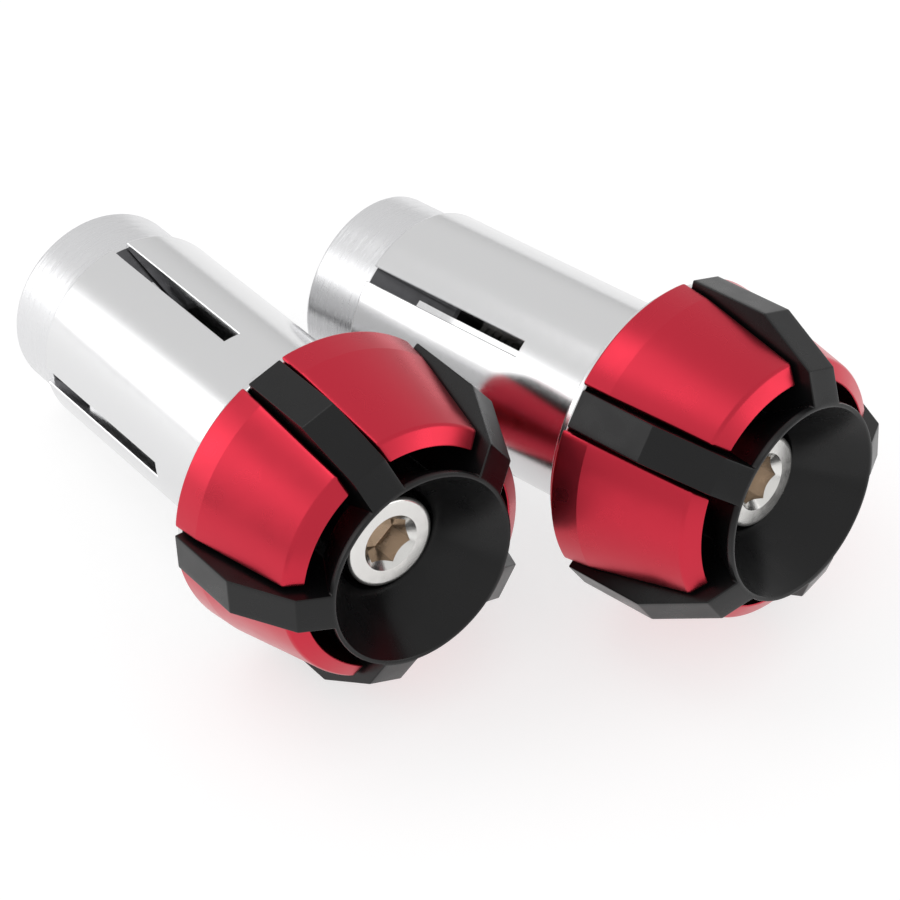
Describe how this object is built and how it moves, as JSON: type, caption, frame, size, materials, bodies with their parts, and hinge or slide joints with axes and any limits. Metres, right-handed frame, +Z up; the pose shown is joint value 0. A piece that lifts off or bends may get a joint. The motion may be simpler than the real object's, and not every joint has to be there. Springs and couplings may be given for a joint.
{
  "type": "pair of expanding bar end plugs",
  "caption": "Pair of expanding handlebar end plugs: slotted ring with a dished spider, socket screw, slotted sleeve and wedge nut.",
  "frame": {"origin": "centre of the pair's bounding box, at floor level", "axes": "+Z up, +X along the row of the two plugs from left to right, +Y away from the side that the heads face"},
  "size_m": [0.0764, 0.055, 0.0299],
  "materials": {
    "red_anodised": "satin red anodised",
    "black_anodised": "satin black anodised",
    "bright_steel": "bright plated",
    "bright_aluminium": "polished",
    "turned_aluminium": "as turned"
  },
  "bodies": {
    "heads": {"left_ring": "red_anodised", "left_spider": "black_anodised", "left_collar": "bright_aluminium", "right_ring": "red_anodised", "right_spider": "black_anodised", "right_collar": "bright_aluminium"},
    "left_screw": {"left_screw": "bright_steel"},
    "left_wedge_nut": {"left_wedge_nut": "turned_aluminium"},
    "left_finger_1": {"left_finger_1": "bright_aluminium"},
    "left_finger_2": {"left_finger_2": "bright_aluminium"},
    "left_finger_3": {"left_finger_3": "bright_aluminium"},
    "left_finger_4": {"left_finger_4": "bright_aluminium"},
    "right_screw": {"right_screw": "bright_steel"},
    "right_wedge_nut": {"right_wedge_nut": "turned_aluminium"},
    "right_finger_1": {"right_finger_1": "bright_aluminium"},
    "right_finger_2": {"right_finger_2": "bright_aluminium"},
    "right_finger_3": {"right_finger_3": "bright_aluminium"},
    "right_finger_4": {"right_finger_4": "bright_aluminium"}
  },
  "joints": [
    {"name": "left_wedge_slide", "type": "slide", "parent": "heads", "child": "left_wedge_nut", "axis": [0.5835, -0.7973, 0.1541], "range_m": [0, 0.0016]},
    {"name": "left_screw_turn", "type": "hinge", "parent": "heads", "child": "left_screw", "pos_m": [-0.01031, -0.00896, 0.01418], "axis": [-0.5835, 0.7973, -0.1541], "range_deg": [0, 720]},
    {"name": "left_finger_1_bend", "type": "hinge", "parent": "heads", "child": "left_finger_1", "pos_m": [-0.02167, -0.00276, 0.01823], "axis": [0.5227, 0.514, 0.6801], "range_deg": [0, 1.33]},
    {"name": "left_finger_2_bend", "type": "hinge", "parent": "heads", "child": "left_finger_2", "pos_m": [-0.02088, -0.00434, 0.00705], "axis": [-0.6215, -0.3163, 0.7167], "range_deg": [0, 1.33]},
    {"name": "left_finger_3_bend", "type": "hinge", "parent": "heads", "child": "left_finger_3", "pos_m": [-0.01173, 0.0023, 0.00676], "axis": [-0.5227, -0.514, -0.6801], "range_deg": [0, 1.33]},
    {"name": "left_finger_4_bend", "type": "hinge", "parent": "heads", "child": "left_finger_4", "pos_m": [-0.01252, 0.00388, 0.01793], "axis": [0.6215, 0.3163, -0.7167], "range_deg": [0, 1.33]},
    {"name": "right_wedge_slide", "type": "slide", "parent": "heads", "child": "right_wedge_nut", "axis": [0.7107, -0.6864, 0.1541], "range_m": [0, 0.0016]},
    {"name": "right_screw_turn", "type": "hinge", "parent": "heads", "child": "right_screw", "pos_m": [0.01973, -0.0033, 0.01444], "axis": [-0.7107, 0.6864, -0.1541], "range_deg": [0, 720]},
    {"name": "right_finger_1_bend", "type": "hinge", "parent": "heads", "child": "right_finger_1", "pos_m": [0.01214, 0.00615, 0.02051], "axis": [0.703, 0.6857, -0.1885], "range_deg": [0, 1.33]},
    {"name": "right_finger_2_bend", "type": "hinge", "parent": "heads", "child": "right_finger_2", "pos_m": [0.00632, -0.00127, 0.01426], "axis": [0.0237, 0.2424, 0.9699], "range_deg": [0, 1.33]},
    {"name": "right_finger_3_bend", "type": "hinge", "parent": "heads", "child": "right_finger_3", "pos_m": [0.01176, 0.00228, 0.00499], "axis": [-0.703, -0.6857, 0.1885], "range_deg": [0, 1.33]},
    {"name": "right_finger_4_bend", "type": "hinge", "parent": "heads", "child": "right_finger_4", "pos_m": [0.01757, 0.0097, 0.01124], "axis": [-0.0237, -0.2424, -0.9699], "range_deg": [0, 1.33]}
  ],
  "couplings": [
    {"joint": "left_screw_turn", "follows": "left_wedge_slide", "rad_per_m": 7854},
    {"joint": "left_finger_1_bend", "follows": "left_wedge_slide", "rad_per_m": 14.477},
    {"joint": "left_finger_2_bend", "follows": "left_wedge_slide", "rad_per_m": 14.477},
    {"joint": "left_finger_3_bend", "follows": "left_wedge_slide", "rad_per_m": 14.477},
    {"joint": "left_finger_4_bend", "follows": "left_wedge_slide", "rad_per_m": 14.477},
    {"joint": "right_screw_turn", "follows": "right_wedge_slide", "rad_per_m": 7854},
    {"joint": "right_finger_1_bend", "follows": "right_wedge_slide", "rad_per_m": 14.477},
    {"joint": "right_finger_2_bend", "follows": "right_wedge_slide", "rad_per_m": 14.477},
    {"joint": "right_finger_3_bend", "follows": "right_wedge_slide", "rad_per_m": 14.477},
    {"joint": "right_finger_4_bend", "follows": "right_wedge_slide", "rad_per_m": 14.477}
  ]
}
